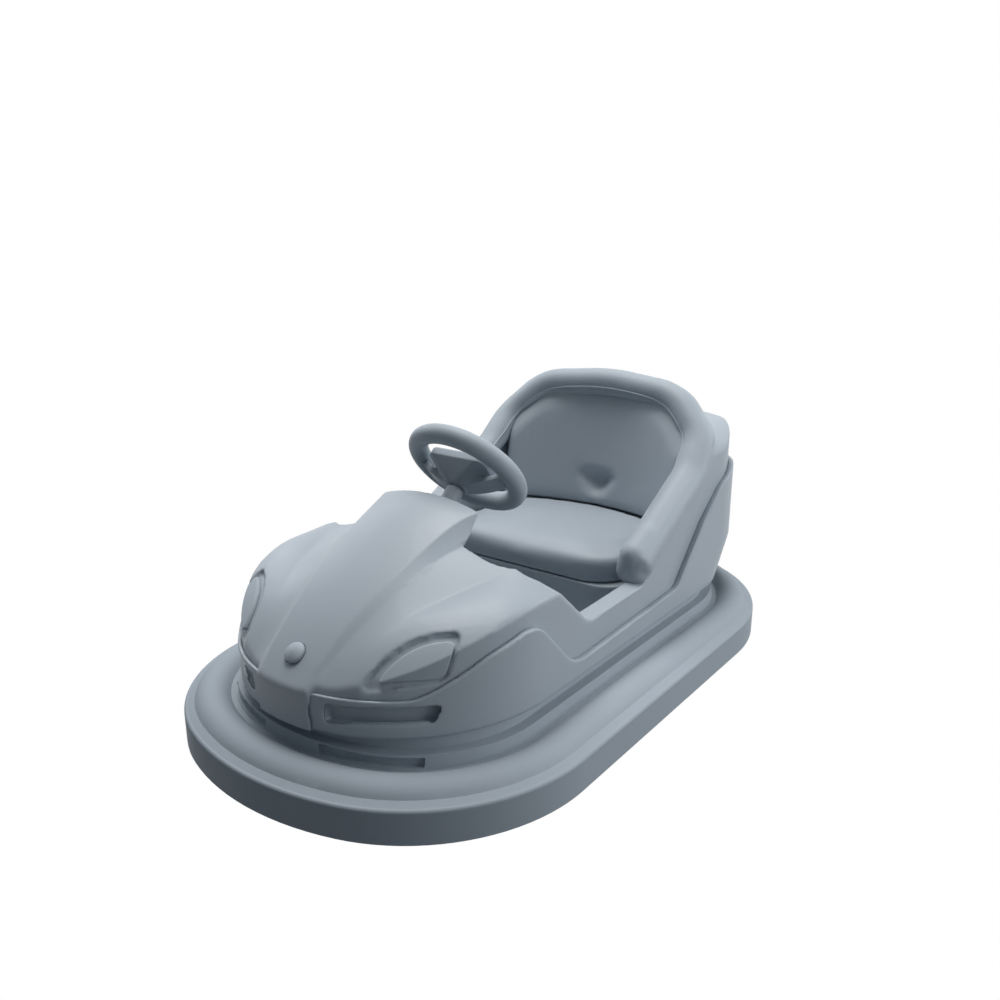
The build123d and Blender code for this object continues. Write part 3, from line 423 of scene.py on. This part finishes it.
# Small mouldings: solid pieces whose edges are only rounded, each with its own fine voxel.
# Columns: new piece, frame piece that it replaces, voxel in metres, smoothing rounds, its body.
SMALL_MOULDINGS = (
    ("lamp_lens_left", "headlamp_left", 0.002, 14, "chassis"),
    ("lamp_lens_right", "headlamp_right", 0.002, 14, "chassis"),
    ("round_boss", "badge_boss", 0.0015, 6, "chassis"),
    ("steering_pad", "steering_hub", 0.002, 6, "steering"),
    ("steering_ring", "steering_rim", 0.003, 3, "steering"),
)
for name, source, voxel, rounds, body in SMALL_MOULDINGS:
    made = merged_copy(name, [source])
    remesh(made, voxel)
    apply_modifier(made, "SMOOTH", factor=SOFT_FACTOR, iterations=rounds)
    finish_shell(made, pebbled_plastic, "trim", source)
    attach(made, body)


# The seat pedestal is a hollow moulding of gel-coated glass fibre that carries the cushion.
# Its walls are thickened inwards and its edges are rounded, as on the body.
PEDESTAL_VOXEL = 0.005
PEDESTAL_ROUNDS = 10

seat_pan = merged_copy("seat_pedestal", ["seat_base"])
thicken_inside(seat_pan, WALL_GAIN)
remesh(seat_pan, PEDESTAL_VOXEL)
apply_modifier(seat_pan, "SMOOTH", factor=SOFT_FACTOR, iterations=PEDESTAL_ROUNDS)
finish_shell(seat_pan, gel_coat, "body_shell", "seat_base")


# Cushion and backrest are padded vinyl. Each solid is remeshed and blown up a little as cloth,
# with the side that it rests on held, and no point moves further than the cap.
PAD_VOXEL = 0.006
PAD_PRESSURE = 1.6
PAD_STIFFNESS = 40
PAD_BENDING = 12
PAD_FRAMES = 20
CUSHION_GRIP = 0.012
# The front of the backrest leans back from a point low in its middle and curves round the seat
BACK_LEAN = 12.0
BACK_FRONT = 0.47
BACK_FOOT = 0.376
BACK_CURVE_R = 0.52
BACK_GRIP = 0.04
BACKREST_SPREAD = (1.05, 1.04)
TUCK_REACH = 0.065
TUCK_DEPTH = 0.018
TUCK_OVER = 0.01
TUCK_ROUNDS = 60
# The centre line of the roll round the seat, from its left arm's end to its middle at the top
ROLL_HALF = (
    (0.342, 0.095, 0.380), (0.342, 0.400, 0.550), (0.330, 0.490, 0.640),
    (0.225, 0.535, 0.745), (0.0, 0.550, 0.766))
SEAT_MIDDLE = Vector((0.0, 0.20, 0.62))

whole = list(ROLL_HALF) + [(-x, y, z) for x, y, z in reversed(ROLL_HALF[:-1])]
path = bpy.data.curves.new("roll_path", "CURVE")
path.dimensions = "3D"
spline = path.splines.new("NURBS")
spline.points.add(len(whole) - 1)
for point, place in zip(spline.points, whole):
    point.co = (*place, 1.0)
spline.order_u = 3
spline.use_endpoint_u = True
spline.resolution_u = 40
guide = bpy.data.objects.new("roll_path", path)
bpy.context.collection.objects.link(guide)
line = [v.co.copy() for v in bpy.data.meshes.new_from_object(guide).vertices]
bpy.data.objects.remove(guide)


def tuck_under_roll(made):
    """Widen the backrest a little and sink its rim into the roll that runs round it.

    Points low in its middle are taken as outside the roll too, which leaves a dent there.
    """
    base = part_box("backrest_pad")[0][2]
    tree = kdtree.KDTree(len(line))
    for i, point in enumerate(line):
        tree.insert((point.x, 0.0, point.z), i)
    tree.balance()
    for vert in made.data.vertices:
        x = vert.co.x * BACKREST_SPREAD[0]
        z = base + (vert.co.z - base) * BACKREST_SPREAD[1]
        near, i, distance = tree.find((x, 0.0, z))
        outside = Vector((x, 0.0, z - SEAT_MIDDLE.z)).length > Vector(
            (near.x, 0.0, near.z - SEAT_MIDDLE.z)).length
        if outside:
            z, distance = min(z, near.z + TUCK_OVER), 0.0
        share = max(0.0, 1 - (distance / TUCK_REACH) ** 2)
        sunk = line[i].y - TUCK_DEPTH
        y = max(vert.co.y, vert.co.y + (sunk - vert.co.y) * share)
        vert.co = (x, y, z)


cushion_base = Vector(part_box("seat_cushion")[0]).z


def held_cushion(point):
    """True where the cushion lies on its base."""
    return point.z < cushion_base + CUSHION_GRIP


def held_backrest(point):
    """True where the backrest lies against its shell: behind the curve of its padding."""
    lean = math.tan(math.radians(BACK_LEAN))
    curve = math.sqrt(max(BACK_CURVE_R ** 2 - point.x ** 2, 0))
    front = BACK_FRONT + (point.z - BACK_FOOT) * lean - BACK_CURVE_R + curve
    return point.y > front + BACK_GRIP


def swell(made, held, cap):
    """Swell a closed mesh with the Cloth modifier, cap the movement and apply it."""
    select_only(made)
    rest = [vert.co.copy() for vert in made.data.vertices]
    pins = made.vertex_groups.new(name="held")
    pins.add([i for i, point in enumerate(rest) if held(point)], 1.0, "REPLACE")
    modifier = made.modifiers.new("cloth", "CLOTH")
    modifier.settings.vertex_group_mass = "held"
    modifier.settings.use_pressure = True
    modifier.settings.uniform_pressure_force = PAD_PRESSURE
    modifier.settings.effector_weights.gravity = 0
    modifier.settings.tension_stiffness = PAD_STIFFNESS
    modifier.settings.compression_stiffness = PAD_STIFFNESS
    modifier.settings.bending_stiffness = PAD_BENDING
    modifier.point_cache.frame_end = PAD_FRAMES
    for step in range(1, PAD_FRAMES + 1):
        bpy.context.scene.frame_set(step)
    bpy.ops.object.modifier_apply(modifier="cloth")
    bpy.context.scene.frame_set(1)
    for vert, start in zip(made.data.vertices, rest):
        move = vert.co - start
        if move.length > cap:
            vert.co = start + move.normalized() * cap


# Columns: new piece, frame piece, held side, cap on the swelling, smoothing rounds, fill
PADS = (
    ("padded_cushion", "seat_cushion", held_cushion, 0.012, 30, 0.8),
    ("padded_backrest", "backrest_pad", held_backrest, 0.006, 110, 0.8),
)
for name, source, held, cap, rounds, fill in PADS:
    pad = merged_copy(name, [source])
    remesh(pad, PAD_VOXEL)
    swell(pad, held, cap)
    apply_modifier(pad, "SMOOTH", factor=SOFT_FACTOR, iterations=rounds)
    if source == "backrest_pad":
        tuck_under_roll(pad)
        apply_modifier(pad, "SMOOTH", factor=SOFT_FACTOR, iterations=TUCK_ROUNDS)
    level = pad.modifiers.new("fine", "SUBSURF")
    level.levels = level.render_levels = 1
    finish_shell(pad, vinyl, "padding", source)


# The roll round the seat is a firm padded tube with a welt along its inner side, where its
# cover is sewn. The welt's path is found on the roll's surface from the roll's own centre line.
ROLL_VOXEL = 0.005
ROLL_ROUNDS = 10
ROLL_LAST_ROUNDS = 16
# The roll grows a little all round, and more on the side that faces out, to the rear and down
ROLL_GAIN = 0.004
ROLL_OUTER_GAIN = 0.020
ROLL_OUTWARD = (0.8, 0.2, -0.5)
ARM_END = (
    (0.350, 0.108, 0.352), (0.330, 0.108, 0.354),
    (0.342, 0.104, 0.398), (0.342, 0.170, 0.430))
ARM_END_R = 0.037
WELT_R = 0.0035
WELT_REACH = 0.12


def add_round_block(form, centres, radius):
    """Add the hull of equal spheres on some centres to a bmesh: a block with round edges."""
    spheres = bmesh.new()
    for centre in centres:
        bmesh.ops.create_icosphere(
            spheres, subdivisions=3, radius=radius, matrix=Matrix.Translation(centre))
    block = bmesh.new()
    for vert in spheres.verts:
        block.verts.new(vert.co)
    spheres.free()
    bmesh.ops.convex_hull(block, input=block.verts[:])
    bmesh.ops.delete(block, geom=[v for v in block.verts if not v.link_faces], context="VERTS")
    mesh = bpy.data.meshes.new("round_block")
    block.to_mesh(mesh)
    block.free()
    form.from_mesh(mesh)
    bpy.data.meshes.remove(mesh)


roll = merged_copy("padded_roll", ["seat_roll"])
remesh(roll, ROLL_VOXEL)
apply_modifier(roll, "SMOOTH", factor=SOFT_FACTOR, iterations=ROLL_ROUNDS)
form = bmesh.new()
form.from_mesh(roll.data)
form.normal_update()
out, rearward, down = ROLL_OUTWARD
for vert in form.verts:
    away = Vector((math.copysign(out, vert.co.x), rearward, down))
    vert.co += vert.normal * (ROLL_GAIN + ROLL_OUTER_GAIN * max(0.0, vert.normal.dot(away)))
for side in (1, -1):
    add_round_block(form, [(side * x, y, z) for x, y, z in ARM_END], ARM_END_R)
form.to_mesh(roll.data)
form.free()
remesh(roll, ROLL_VOXEL)
apply_modifier(roll, "SMOOTH", factor=SOFT_FACTOR, iterations=ROLL_LAST_ROUNDS)
finish_shell(roll, vinyl, "padding", "seat_roll")

form = bmesh.new()
form.from_mesh(roll.data)
skin = BVHTree.FromBMesh(form)
form.free()
welt_line = []
for before, here, after in zip(line, line[1:], line[2:]):
    along = (after - before).normalized()
    inward = SEAT_MIDDLE - here
    inward = (inward - along * inward.dot(along)).normalized()
    hit = skin.ray_cast(here + inward * WELT_REACH, -inward, WELT_REACH)[0]
    if hit is not None:
        welt_line.append(hit)
welt = bpy.data.curves.new("roll_welt", "CURVE")
welt.dimensions = "3D"
welt.bevel_depth = WELT_R
welt.bevel_resolution = 3
welt.use_fill_caps = True
spline = welt.splines.new("POLY")
spline.points.add(len(welt_line) - 1)
for point, place in zip(spline.points, welt_line):
    point.co = (*place, 1.0)
welt = bpy.data.objects.new("roll_welt", welt)
bpy.context.collection.objects.link(welt)
welt.data.materials.append(vinyl)
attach(welt, "chassis")
